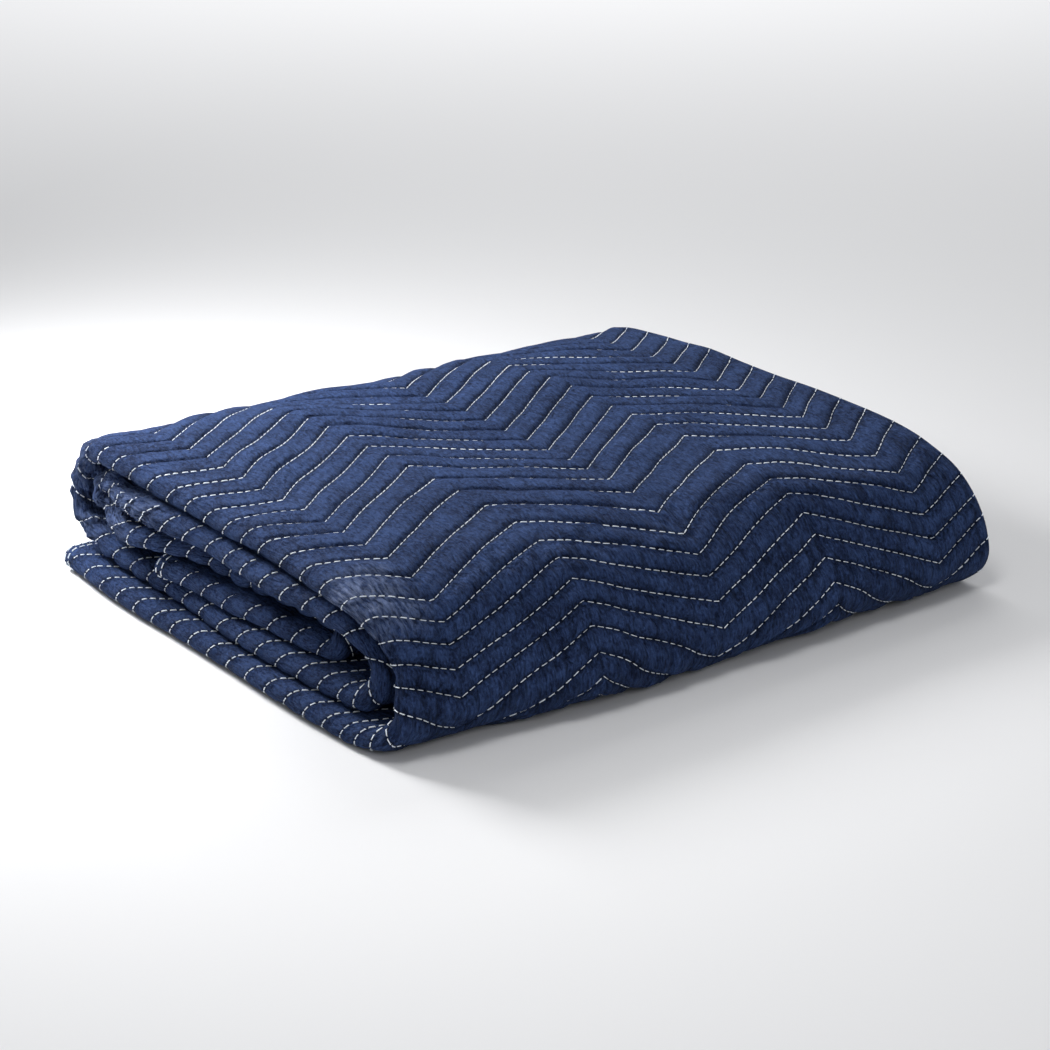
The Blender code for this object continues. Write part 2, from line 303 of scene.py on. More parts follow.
TABLE_ROWS = np.array([front.row for front in FRONT_ROWS], float)
TABLE_CORNER = np.array([front.corner for front in FRONT_ROWS]) * MM
TABLE_RISE = np.array([front.rise for front in FRONT_ROWS]) * MM


def smooth_table(row, values):
    """The table's value at a row, with its corners taken off."""
    total = 0
    for shift, share in ((-0.6, 0.25), (0, 0.5), (0.6, 0.25)):
        total = total + share * np.interp(row + shift, TABLE_ROWS, values)
    return total


def row_corner(row):
    """How far along the strip the row lies at its corner nearest the front."""
    before = np.minimum(row - TABLE_ROWS[0], 0) * ROW_PITCH
    after = np.maximum(row - TABLE_ROWS[-1], 0) * ROW_PITCH
    inside = np.clip(row, TABLE_ROWS[0], TABLE_ROWS[-1])
    return smooth_table(inside, TABLE_CORNER) + before + after


def row_rise(row):
    """How far the row's zigzag rises from its front corners to its back ones."""
    return smooth_table(row, TABLE_RISE)


# The mesh's rows from end to end of the strip, with the zigzag fading out over the last few
FIRST_ROW = (0 - RISE / 2 - TABLE_CORNER[0]) / ROW_PITCH + TABLE_ROWS[0]
LAST_ROW = (LENGTH - RISE / 2 - TABLE_CORNER[-1]) / ROW_PITCH + TABLE_ROWS[-1]
FADE_ROWS = 4


def along(row, shift, straight_ends=True):
    """How far along the strip a row lies where its zigzag has that shift: straight at the ends for the mesh."""
    lean = 1.0
    if straight_ends:
        lean = ease((row - FIRST_ROW) / FADE_ROWS) * ease((LAST_ROW - row) / FADE_ROWS)
    return row_corner(row) + row_rise(row) * (0.5 + shift * lean)


SHIFT_LEVELS = 40
ROW_SAMPLES = np.linspace(FIRST_ROW - 5, LAST_ROW + 5, 1600)
ROW_TABLE = [along(ROW_SAMPLES, level / SHIFT_LEVELS - 0.5, False) for level in range(SHIFT_LEVELS + 1)]


def row_at(s, shift):
    """The row, as a number with a fraction, that lies at s along the strip where the zigzag has that shift."""
    s, shift = np.broadcast_arrays(np.asarray(s, float), np.asarray(shift, float))
    level = np.clip((shift + 0.5) * SHIFT_LEVELS, 0, SHIFT_LEVELS - 1e-6)
    under = np.floor(level).astype(int)
    share = level - under
    found = np.zeros(s.shape)
    for index in np.unique(under):
        here = under == index
        low = np.interp(s[here], ROW_TABLE[index], ROW_SAMPLES)
        high = np.interp(s[here], ROW_TABLE[index + 1], ROW_SAMPLES)
        found[here] = low * (1 - share[here]) + high * share[here]
    return found


def on_front(s):
    """Where the strip is on the front face."""
    return within(s, FRONT_SPAN[0] + 20 * MM, FRONT_SPAN[1] - 15 * MM, 50 * MM)


def crumpled_at(s):
    """Where the folds at the back are crumpled."""
    outer = within(s, BACK_SPAN[0] + 10 * MM, BACK_SPAN[1] + 5 * MM, 25 * MM)
    inner = within(s, INNER_BACK_SPAN[0] - 70 * MM, INNER_BACK_SPAN[1] + 30 * MM, 30 * MM)
    return np.maximum(0.9 * outer, inner)


def bunched(s):
    """How much the cloth is pushed together, for the material."""
    return np.clip(on_front(s) + crumpled_at(s), 0.15, 1)


def sheen_and_smooth(s, w):
    """Where the cloth is smoother and has a painted sheen of paler colour: at the left end of the front fold, and on
    the crumpled folds.
    """
    corner = within(s, FRONT_SPAN[1] - 18 * MM, FRONT_SPAN[1] + 14 * MM, 20 * MM) * ease((-172 * MM - w) / (22 * MM))
    return np.maximum(corner, 0.5 * crumpled_at(s) * ease((-165 * MM - w) / (30 * MM)))


def relief(s, w, row):
    """How far the quilted face stands out at s along the strip and w across the cloth."""
    front = on_front(s)
    crumpled = crumpled_at(s) * ease((-140 * MM - w) / (50 * MM))
    nearest = np.round(row)
    off = np.abs(row - nearest)
    # The channel between two rows
    puff = np.sin(np.pi * np.clip(off, 0, 0.5)) ** PUFF_ROUNDNESS
    up = PUFF_ON_TOP + (PUFF_ON_FRONT - PUFF_ON_TOP) * front
    up = up * (1 + PUFF_VARIES * waves(w / (38 * MM), row * 0.9, 11))
    rim = ease((RIM_FROM - w) / (16 * MM))
    groove = GROOVE * (1 - RIM_GROOVE_LESS * rim)
    height = -groove + (groove + up * (1 - RIM_PUFF_LESS * rim)) * puff
    # Short gathers on both sides of a row, and creases and puckers across the channel
    stitched = w * STITCHED_LONGER
    near_row = np.exp(-(((off - GATHERS_OFF) / GATHERS_WIDTH) ** 2))
    side = np.where(row > nearest, 0.0, 0.5)
    gathers = waves(stitched / (3.6 * MM), nearest * 7 + side * 3, 12)
    creases = waves(stitched / (9 * MM) + 1.2 * waves(row * 0.7, w / (25 * MM), 23), row * 0.55, 24)
    creases = np.exp(-((creases / CREASE_WIDTH) ** 2))
    puckers = waves(stitched / (6.5 * MM) + 3 * waves(row, w / (30 * MM), 14), row * 0.8, 13)
    patchy = ease(0.55 + 1.6 * waves(w / (55 * MM), row * 0.35, 15))
    height = height + (0.18 + 0.3 * front) * MM * gathers * near_row
    height = height - (0.15 + (0.3 + 1.2 * patchy) * front) * MM * creases * puff
    height = height + (0.12 + (0.3 + 0.8 * patchy) * front) * MM * puckers * puff
    # Crumples in the folds at the back
    wrinkles = waves(w / (6 * MM), s / (9 * MM), 16) + 0.5 * waves(w / (4 * MM), s / (5 * MM), 17)
    height = height + CRUMPLE * crumpled * (1.2 * np.abs(wrinkles) - 0.6)
    return height + UNEVEN * waves(w / (33 * MM), s / (26 * MM), 18)


def end_pinch(s):
    """The cloth's share of its thickness near the hemmed ends, which are rounded."""
    inside = np.minimum(s, LENGTH - s)
    reach = SHEET / 2
    return np.maximum(np.sqrt(np.clip(1 - ((reach - np.minimum(inside, reach)) / reach) ** 2, 0, 1)), 0.3)


def hem_thicker(s):
    """How much thicker the cloth is at the hemmed ends."""
    inside = np.minimum(s, LENGTH - s)
    return HEM_THICKER * ease((HEM_WIDTH - inside) / (1.5 * MM))


# The ring round the four sheets at one place along the strip
LEFT_TURN = HALF_STRIP
RIGHT_TURN = SHEET_PITCH
RIGHT_RADIUS = HALF_STRIP - SHEET_PITCH
SHEET_MIDDLES = {
    "S1": 1.5 * SHEET_PITCH,
    "S2": 0.5 * SHEET_PITCH,
    "S3": -0.5 * SHEET_PITCH,
    "S4": -1.5 * SHEET_PITCH,
}


def left_centre(s):
    return read(s, LINE_LEFT) + LEFT_TURN


def right_centre(s):
    return read(s, LINE_RIGHT) - RIGHT_TURN


def edge_x(s, sheet):
    """Where a hemmed side edge lies."""
    seed = 21 if sheet == "S3" else 22
    return read(s, LINE_RIGHT) - SIDE_EDGE_IN + 1.5 * MM * waves(s / (60 * MM), 0.5, seed)


class Column:
    """One line of the mesh along the strip: its part of the ring, where it lies there, and how finely it is cut."""

    def __init__(self, part, value, fineness, middle, quilted):
        self.part = part
        self.value = value
        self.fineness = fineness
        self.middle = middle
        self.quilted = quilted

    def spot(self, s):
        """x, height, outward x, outward height, and the place across the cloth."""
        left = left_centre(s)
        right = right_centre(s)
        part = self.part
        value = self.value
        one = np.ones_like(s)
        if part == "face":
            x = self.across(s)
            return x, HALF_STRIP * one, 0 * one, one, x
        if part == "left turn":
            angle = value
            x = left - LEFT_TURN * np.sin(angle)
            n = LEFT_TURN * np.cos(angle) * one
            return x, n, -np.sin(angle) * one, np.cos(angle) * one, left - LEFT_TURN * angle
        if part == "inside face":
            x = left + value
            return x, -HALF_STRIP * one, 0 * one, -one, left - LEFT_TURN * np.pi - value
        if part == "right turn":
            x = right + RIGHT_RADIUS * np.sin(value)
            n = (SHEET_PITCH + RIGHT_RADIUS * np.cos(value)) * one
            return x, n, np.sin(value) * one, np.cos(value) * one, right + RIGHT_RADIUS * value
        raise ValueError(part)

    def across(self, s):
        """x on the outer face: fixed in the middle, and shared out near the rims."""
        kind, value = self.value
        if kind == "fixed":
            return value + 0 * s
        if kind == "to left":
            return FACE_LEFT + (left_centre(s) - FACE_LEFT) * value
        return FACE_RIGHT + (right_centre(s) - FACE_RIGHT) * value


FACE_LEFT = -173 * MM
FACE_RIGHT = 173 * MM
FACE_COLUMNS_PER_ARM = 42
TO_RIGHT_STEPS = 14
TO_LEFT_STEPS = 12
LEFT_TURN_STEPS = 9
RIGHT_TURN_STEPS = 8
INSIDE_FACE_SHOWN = (2.5, 5.5, 9, 13, 18, 24, 31, 39, 48)


class Hidden(Column):
    """A line of the mesh on a face that other sheets cover, at a plain x and height."""

    def __init__(self, sheet, side, reach, fineness, middle):
        super().__init__("hidden", None, fineness, middle, False)
        self.sheet = sheet
        self.side = side
        self.reach = reach

    def spot(self, s):
        kind, value = self.reach
        one = np.ones_like(s)
        left = left_centre(s)
        right = right_centre(s)
        middle = SHEET_MIDDLES.get(self.sheet, 0.0)
        height = middle + self.side * (SHEET / 2) * one
        if kind == "fixed":
            return value + 0 * s, height, 0 * one, self.side * one, value + 0 * s
        if kind == "left":
            return left + value, height, 0 * one, self.side * one, left + value
        if kind == "right":
            return right + value, height, 0 * one, self.side * one, right + value
        if kind == "left turn":
            radius, angle = value
            out_x = -self.side * np.sin(angle) * one
            out_n = self.side * np.cos(angle) * one
            return left - radius * np.sin(angle), radius * np.cos(angle) * one, out_x, out_n, left - radius * angle
        if kind == "right turn":
            radius, angle = value
            n = (SHEET_PITCH + radius * np.cos(angle)) * one
            out_x = self.side * np.sin(angle) * one
            return right + radius * np.sin(angle), n, out_x, self.side * np.cos(angle) * one, right + radius * angle
        if kind == "hem":
            edge = edge_x(s, self.sheet)
            x = edge + SHEET / 2 * np.sin(value)
            n = middle + SHEET / 2 * np.cos(value) * one
            return x, n, np.sin(value) * one, np.cos(value) * one, edge + SHEET / 2 * value
        raise ValueError(kind)


COARSE_X = [-150 * MM, -105 * MM, -55 * MM, 0.0, 55 * MM, 105 * MM, 150 * MM, 185 * MM]


def crossing(sheet, side, places, start, step):
    """Lines of the mesh across a covered face, at those places."""
    span = len(COARSE_X) + 2
    return [
        Hidden(sheet, side, ("fixed", x), "coarse", start + step * (index + 1) / span)
        for index, x in enumerate(places)
    ]


def hemmed(sheet, side, angles_and_middles):
    """Lines of the mesh round a hemmed side edge."""
    return [Hidden(sheet, side, ("hem", angle), "right", middle) for angle, middle in angles_and_middles]


def turned(side, kind, radius, angles_and_middles):
    """Lines of the mesh round the covered side of a turn."""
    return [Hidden(None, side, (kind, (radius, angle)), "coarse", middle) for angle, middle in angles_and_middles]


def ring_columns():
    """The columns round the ring: the shown side from hem to hem, and back along the covered side."""
    backwards = COARSE_X[::-1]
    eighths = np.pi * np.arange(9) / 8
    quarters = np.pi * np.arange(5) / 4
    # The shown side, from the third sheet's hem
    columns = hemmed("S3", 1, [(angle, 0.02 * (1 - angle)) for angle in (np.pi / 2, np.pi / 4, 0)])
    columns += crossing("S3", 1, backwards, 0, 1)
    columns.append(Hidden("S3", 1, ("left", 4 * MM), "coarse", 0.97))
    columns.append(Hidden("S3", 1, ("left", 0), "coarse", 1.0))
    columns.append(Hidden("S2", -1, ("left", 0), "coarse", 2.0))
    columns.append(Hidden("S2", -1, ("left", 4 * MM), "coarse", 2.03))
    columns += crossing("S2", -1, COARSE_X, 2, 1)
    columns.append(Hidden("S2", -1, ("right", -6 * MM), "right", 2.96))
    # The first fold, on the right
    for step in range(RIGHT_TURN_STEPS, -1, -1):
        middle = 3 + (RIGHT_TURN_STEPS - step) / RIGHT_TURN_STEPS
        columns.append(Column("right turn", eighths[step], "right", middle, True))
    # The outer face
    count = 2 * 2 * FACE_COLUMNS_PER_ARM
    for step in range(TO_RIGHT_STEPS - 1, 0, -1):
        middle = 4 + 0.1 * (TO_RIGHT_STEPS - step) / TO_RIGHT_STEPS
        columns.append(Column("face", ("to right", step / TO_RIGHT_STEPS), "fine", middle, True))
    for step in range(count + 1):
        x = FACE_RIGHT - step * (FACE_RIGHT - FACE_LEFT) / count
        columns.append(Column("face", ("fixed", x), "fine", 4.1 + 0.8 * step / count, True))
    for step in range(1, TO_LEFT_STEPS):
        middle = 4.9 + 0.1 * step / TO_LEFT_STEPS
        columns.append(Column("face", ("to left", step / TO_LEFT_STEPS), "fine", middle, True))
    # The rim on the left, and the face inside the folds
    for step in range(LEFT_TURN_STEPS + 1):
        angle = np.pi * step / LEFT_TURN_STEPS
        columns.append(Column("left turn", angle, "rim", 5 + step / LEFT_TURN_STEPS, True))
    for step, value in enumerate(INSIDE_FACE_SHOWN):
        columns.append(Column("inside face", value * MM, "rim", 6 + 0.1 * step / len(INSIDE_FACE_SHOWN), True))
    columns += crossing("S4", -1, COARSE_X[1:], 6.1, 0.9)
    columns += hemmed("S4", -1, [(angle, 7 + 0.02 * (np.pi - angle)) for angle in (np.pi, 3 * np.pi / 4, np.pi / 2)])
    shown = len(columns)
    # Back along the covered side
    columns += hemmed("S4", 1, [(angle, 7 + 0.02 * angle) for angle in (np.pi / 4, 0)])
    columns += crossing("S4", 1, backwards, 7, -1)
    around = [(quarters[4 - step], 5 + (4 - step) / 4) for step in range(5)]
    columns += turned(-1, "left turn", HALF_STRIP - SHEET, around)
    columns += crossing("S1", -1, COARSE_X, 5, -1)
    columns += turned(-1, "right turn", HALF_GAP, [(0, 4.0), (np.pi / 2, 3.5), (np.pi, 3.0)])
    columns += crossing("S2", 1, backwards, 3, -1)
    around = [(quarters[step], 2 - step / 4) for step in range(5)]
    columns += turned(1, "left turn", SHEET_PITCH - HALF_GAP, around)
    columns += crossing("S3", -1, COARSE_X, 1, -1)
    last = [(angle, 0.02 * (angle - np.pi / 2) * 0.5) for angle in (np.pi, 3 * np.pi / 4)]
    columns += hemmed("S3", -1, last)
    return columns, shown


def heading_at(row):
    return np.interp(along(row, 0.0), ALONG, HEADING)


def adaptive(first, last, sharpest, longest):
    """Rows from first to last, close where the strip bends and far apart where it is straight."""
    fine = np.linspace(first, last, int((last - first) * 40) + 2)
    steps = np.abs(np.diff(heading_at(fine))) / np.radians(sharpest) + np.diff(fine) / longest
    cost = np.concatenate([[0], np.cumsum(steps)])
    return np.interp(np.linspace(0, cost[-1], int(np.ceil(cost[-1])) + 1), cost, fine)


def even(first, last, per_row):
    """Evenly spaced rows from first to last, with whole rows among them."""
    return np.arange(np.ceil(first * per_row), np.floor(last * per_row) + 1) / per_row


SHOWN_FROM = -19.5
SHOWN_TO = float(row_at(BACK_SPAN[1] + 5 * MM, 0.5)) + 1.5
END_STEPS = np.array([0, 0.3, 0.8, 1.6]) * MM / ROW_PITCH


def joined(*lists):
    """One rising list of rows, with the rounded ends' rows, and none closer than a fiftieth of a row."""
    ends = np.concatenate([FIRST_ROW + END_STEPS, LAST_ROW - END_STEPS])
    inside = np.concatenate(lists)
    inside = inside[(inside > FIRST_ROW + 0.15) & (inside < LAST_ROW - 0.15)]
    rows = np.sort(inside)
    kept = [rows[0]]
    for row in rows[1:]:
        if row - kept[-1] > 0.02:
            kept.append(row)
    return np.sort(np.concatenate([ends, kept]))


def refined(rows, sharpest):
    """The rows with the steps halved where the strip turns too far in one."""
    bends = np.degrees(np.abs(np.diff(heading_at(rows))))
    extra = [
        rows[index] + (rows[index + 1] - rows[index]) * np.arange(1, parts) / parts
        for index, parts in enumerate(np.ceil(bends / sharpest).astype(int))
        if parts > 1
    ]
    return np.sort(np.concatenate([rows, *extra])) if extra else rows


def row_lists():
    """The mesh's rows for each fineness of column."""
    shown = even(SHOWN_FROM, SHOWN_TO, 10)
    return {
        "fine": joined(even(FIRST_ROW, SHOWN_FROM, 2), shown, adaptive(SHOWN_TO, LAST_ROW, 22, 1.4)),
        "rim": joined(refined(even(FIRST_ROW, SHOWN_FROM, 6), 14), shown, refined(even(SHOWN_TO, LAST_ROW, 6), 14)),
        "right": joined(adaptive(FIRST_ROW, LAST_ROW, 12, 0.4)),
        "coarse": joined(adaptive(FIRST_ROW, LAST_ROW, 20, 2.2)),
    }


SETTLING_ROUNDS = 4


def shift_of(column, w):
    """The zigzag's shift that a column of the mesh follows: the rows' own, fading out where they aren't seen."""
    if not column.quilted:
        return 0 * w
    shift = zigzag(w)
    if column.part == "inside face":
        shift = shift * (1 - ease((column.value - 12 * MM) / (44 * MM)))
    if column.part == "right turn":
        shift = shift * (1 - ease((column.value - 1.5) / 2.2))
    return shift


def column_points(column, rows):
    """The points down one column, and each one's place across the cloth, along it and among the rows."""
    s = along(rows, 0.0)
    for _ in range(SETTLING_ROUNDS):
        w = column.spot(s)[-1]
        s = np.clip(along(rows, shift_of(column, w)), 0, LENGTH)
    x, n, out_x, out_n, w = column.spot(s)
    row = row_at(s, zigzag(w)) if column.quilted else rows
    raised = hem_thicker(s) / 2 - SHEET / 2 * (1 - end_pinch(s))
    if column.quilted:
        raised = raised + relief(s, w, row) * quilted_share(s, w)
    x = x + out_x * raised
    n = n + out_n * raised
    return place(s, x, n), w, s, n, row


def quilted_share(s, w):
    """How much of the relief shows: none at the hemmed ends, round the right turns and deep inside the folds."""
    inside = np.minimum(s, LENGTH - s)
    share = ease((inside - 2 * MM) / (8 * MM))
    share = share * (1 - ease((w - right_centre(s) + 6 * MM) / (6 * MM)))
    past = left_centre(s) - w - np.pi * LEFT_TURN
    return share * (1 - ease((past - 22 * MM) / (26 * MM)))


def zipped(one, two, rows_one, rows_two):
    """Faces between two neighbouring columns whose rows may differ."""
    faces = []
    if len(rows_one) == len(rows_two) and np.allclose(rows_one, rows_two):
        for index in range(len(one) - 1):
            faces.append((one[index], one[index + 1], two[index + 1], two[index]))
        return faces
    first = second = 0
    while first < len(one) - 1 or second < len(two) - 1:
        next_one = rows_one[first + 1] if first < len(one) - 1 else np.inf
        next_two = rows_two[second + 1] if second < len(two) - 1 else np.inf
        if next_one <= next_two:
            faces.append((one[first], one[first + 1], two[second]))
            first += 1
        else:
            faces.append((one[first], two[second + 1], two[second]))
            second += 1
    return faces


def linked(name, data):
    """A new object of the scene."""
    made = bpy.data.objects.new(name, data)
    bpy.context.scene.collection.objects.link(made)
    return made


def make_cloth():
    """The whole cloth as one closed mesh, with what the material reads at each point."""
    columns, shown = ring_columns()
    lists = row_lists()
    points = []
    on_cloth = []
    near_row = []
    smoother_with_sheen = []
    pushed = []
    starts = []
    for column in columns:
        place_of, w, s, n, row = column_points(column, lists[column.fineness])
        starts.append(sum(len(part) for part in points))
        points.append(place_of)
        on_cloth.append(np.stack([w, s, n], axis=-1))
        pushed.append(bunched(s))
        # Where the cloth is smoother and has a painted sheen
        smoother_with_sheen.append(sheen_and_smooth(s, w))
        off = np.abs(row - np.round(row)) if column.quilted else 0.5 + 0 * row
        near_row.append(1 - 2 * off)
    faces = []
    ids = [start + np.arange(len(part)) for start, part in zip(starts, points)]
    count = len(columns)
    for index, column in enumerate(columns):
        after = (index + 1) % count
        rows_one = lists[column.fineness]
        rows_two = lists[columns[after].fineness]
        faces += zipped(ids[index].tolist(), ids[after].tolist(), rows_one, rows_two)
    # The hemmed ends: the shown side and the covered side, joined across the sheet's thickness
    for end in (0, -1):
        shown_ids = [int(ids[index][end]) for index in range(shown)]
        covered_ids = [int(ids[index][end]) for index in range(count - 1, shown - 1, -1)]
        shown_at = [columns[index].middle for index in range(shown)]
        covered_at = [columns[index].middle for index in range(count - 1, shown - 1, -1)]
        strip = zipped(shown_ids, covered_ids, np.array(shown_at), np.array(covered_at))
        faces += [face[::-1] for face in strip] if end == 0 else strip
    mesh = bpy.data.meshes.new("cloth")
    every = np.concatenate(points)
    mesh.from_pydata(every.tolist(), [], faces)
    mesh.validate()
    attribute = mesh.attributes.new("on_cloth", "FLOAT_VECTOR", "POINT")
    attribute.data.foreach_set("vector", np.concatenate(on_cloth).astype(np.float32).ravel())
    for name, values in (("near_row", near_row), ("sheen_and_smooth", smoother_with_sheen), ("bunched", pushed)):
        attribute = mesh.attributes.new(name, "FLOAT", "POINT")
        attribute.data.foreach_set("value", np.concatenate(values).astype(np.float32))
    mesh.shade_smooth()
    return linked("cloth", mesh)


# Stitches
STITCH_PITCH = 5.3 * MM
STITCH_LENGTH = 4.3 * MM
THREAD = 0.4 * MM
SIDES = 3
STITCH_SHARES = np.array([0.0, 0.16, 0.84, 1.0])
STITCH_HEIGHTS = np.array([-0.5, 0.34, 0.34, -0.5]) * MM
STITCH_WIDTHS = np.array([0.55, 1.0, 1.0, 0.55]) * THREAD
LINE_STEP = 0.25 * MM
FEWEST_POINTS = 30
HEM_ROWS_IN = (5 * MM, 9.5 * MM)
CLEAR_OF_HEM = 13 * MM
RIGHT_STITCHED = 2.2
RIGHT_RIM_STITCHED = 12 * MM
INSIDE_STITCHED = 44 * MM
RIM_STITCHED = 26 * MM
LAST_SHOWN_INSIDE = 48 * MM
SHOWN_ACROSS = 400 * MM


def on_shown_side(s, w):
    """x, height and the way out on the shown side at w across the cloth."""
    left = left_centre(s)
    right = right_centre(s)
    turn = np.clip((left - w) / LEFT_TURN, 0, np.pi)
    past = np.maximum(left - w - np.pi * LEFT_TURN, 0)
    right_turn = np.clip((w - right) / RIGHT_RADIUS, 0, np.pi)
    x = np.clip(w, left, right)
    x = x - LEFT_TURN * np.sin(turn) + past + RIGHT_RADIUS * np.sin(right_turn)
    n = LEFT_TURN * np.cos(turn)
    n = np.where(right_turn > 0, SHEET_PITCH + RIGHT_RADIUS * np.cos(right_turn), n)
    out_x = -np.sin(turn) + np.sin(right_turn)
    out_n = np.cos(turn) * np.cos(right_turn)
    return x, n, out_x, out_n


def cloth_point(s, w, row, above):
    """A point of the shown side's surface, or so far above it."""
    x, n, out_x, out_n = on_shown_side(s, w)
    raised = relief(s, w, row) * quilted_share(s, w) + hem_thicker(s) * 0.5 + above
    return place(s, x + out_x * raised, n + out_n * raised)


def inside_reach(s):
    """How far the innermost sheet goes from its turn to its hemmed side edge."""
    return edge_x(s, "S4") - left_centre(s)


def stitch_lines():
    """Each stitched row, or the shown stretch of it: its places across the cloth and along the strip, and its row."""
    lines = []
    outer_to = float(row_at(BACK_SPAN[1] + 10 * MM, 0.0))
    past_right = RIGHT_STITCHED * RIGHT_RADIUS
    for row in range(int(np.ceil(FIRST_ROW - 2)), int(np.floor(LAST_ROW + 2)) + 1):
        middle = float(np.clip(along(float(row), 0.0, False), 0, LENGTH))
        left = float(left_centre(middle)) - np.pi * LEFT_TURN - INSIDE_STITCHED
        right = float(right_centre(middle)) + past_right
        if middle < LAST_SHOWN_INSIDE + RISE:
            left = left - SHOWN_ACROSS
        stretches = [(left, right)]
        if row >= outer_to:
            rim = float(left_centre(middle))
            stretches = [(left, rim + RIM_STITCHED), (float(right_centre(middle)) - RIGHT_RIM_STITCHED, right)]
        for start, end in stretches:
            w = np.arange(start, end, LINE_STEP)
            s = along(float(row) + 0 * w, zigzag(w), False)
            kept = (s > CLEAR_OF_HEM) & (s < LENGTH - CLEAR_OF_HEM)
            deep = left_centre(s) - np.pi * LEFT_TURN - INSIDE_STITCHED
            kept = kept & ((w > deep) | (s < LAST_SHOWN_INSIDE))
            kept = kept & (w > deep + INSIDE_STITCHED - inside_reach(s))
            for run in np.split(np.arange(len(w)), np.flatnonzero(np.diff(kept.astype(int))) + 1):
                if kept[run[0]] and len(run) > FEWEST_POINTS:
                    lines.append((w[run], s[run], float(row) + 0 * w[run]))
    # The double rows along the hemmed ends, and along the shown hemmed side
    for inset in HEM_ROWS_IN:
        for s_hem in (inset, LENGTH - inset):
            left = float(left_centre(s_hem)) - np.pi * LEFT_TURN - float(inside_reach(s_hem))
            w = np.arange(left, float(right_centre(s_hem)) + past_right, LINE_STEP)
            lines.append((w, s_hem + 0 * w, row_at(s_hem + 0 * w, zigzag(w))))
    for inset in HEM_ROWS_IN:
        s = np.arange(CLEAR_OF_HEM, LENGTH - CLEAR_OF_HEM, LINE_STEP)
        w = left_centre(s) - np.pi * LEFT_TURN - inside_reach(s) + inset
        lines.append((w, s, row_at(s, zigzag(w))))
    return lines


def stitch_places():
    """The places across the cloth, along the strip and among the rows of the points down each stitch."""
    places = []
    for number, (w, s, row) in enumerate(stitch_lines()):
        run = np.concatenate([[0], np.cumsum(np.hypot(np.diff(w), np.diff(s)))])
        shift = float(hashed(np.array([number]), np.array([5]), 31)[0]) * STITCH_PITCH
        index = np.arange(int((run[-1] - shift) / STITCH_PITCH))
        start = shift + index * STITCH_PITCH + (hashed(index, 0 * index + number, 32) - 0.5) * 0.6 * MM
        length = STITCH_LENGTH * (0.88 + 0.24 * hashed(index, 0 * index + number, 33))
        at = start[:, None] + STITCH_SHARES[None, :] * length[:, None]
        at = at[(at[:, 0] > 0) & (at[:, -1] < run[-1])]
        places.append(np.stack([np.interp(at, run, w), np.interp(at, run, s), np.interp(at, run, row)]))
    return np.concatenate(places, axis=1)


def make_stitches():
    """Running stitches as short threads that dip into the cloth at both ends."""
    w, s, row = stitch_places()
    centre = cloth_point(s, w, row, STITCH_HEIGHTS)
    up = unit(cloth_point(s, w, row, STITCH_HEIGHTS + 1 * MM) - centre)
    way = unit(np.gradient(centre, axis=1))
    aside = unit(np.cross(way, up))
    angles = np.pi / 2 + 2 * np.pi / SIDES * np.arange(SIDES)
    offset = np.cos(angles)[:, None] * aside[:, :, None] + np.sin(angles)[:, None] * up[:, :, None]
    points = centre[:, :, None] + offset * STITCH_WIDTHS[None, :, None, None]
    points[..., 2] = np.maximum(points[..., 2], 0)
    rings = len(STITCH_SHARES)
    first = np.arange(len(points))[:, None] * rings * SIDES
    faces = []
    for ring in range(rings - 1):
        for side in range(SIDES):
            after = (side + 1) % SIDES
            low = ring * SIDES
            faces += (first + np.array([low + side, low + after, low + SIDES + after, low + SIDES + side])).tolist()
    faces += (first + np.arange(SIDES)[::-1]).tolist()
    faces += (first + (rings - 1) * SIDES + np.arange(SIDES)).tolist()
    mesh = bpy.data.meshes.new("stitches")
    mesh.from_pydata(points.reshape(-1, 3).tolist(), [], faces)
    mesh.shade_smooth()
    return linked("stitches", mesh)


# Materials
DARK_NAVY = (0.011, 0.018, 0.052)
PALE_NAVY = (0.041, 0.074, 0.192)
# Painted shade, multiplied into the cloth's colour in its creases, stitched grooves and beside its puckers
PAINTED_CREASE_SHADE = (0.22, 0.19, 0.21)
# Painted sheen, mixed into the cloth's colour where it is smoother
PAINTED_SHEEN = (0.15, 0.20, 0.36)
DARK_THREAD = (0.76, 0.85, 1.0)
PALE_THREAD = (0.90, 0.95, 1.0)
FLOOR_COLOUR = (0.78, 0.78, 0.79)
SKY_COLOUR = (0.96, 0.98, 1)
SKY_STRENGTH = 0.31


def node(tree, kind, **values):
    """A new node with those settings."""
    made = tree.nodes.new(kind)
    for name, value in values.items():
        setattr(made, name, value)
    return made


def new_material(name):
    """A new material, its node tree and its shader."""
    material = bpy.data.materials.new(name)
    material.use_nodes = True
    return material, material.node_tree, material.node_tree.nodes["Principled BSDF"]


def set_ramp(ramp, stops):
    for element, (position, colour) in zip(ramp.color_ramp.elements, stops):
        element.position = position
        element.color = (*colour, 1)


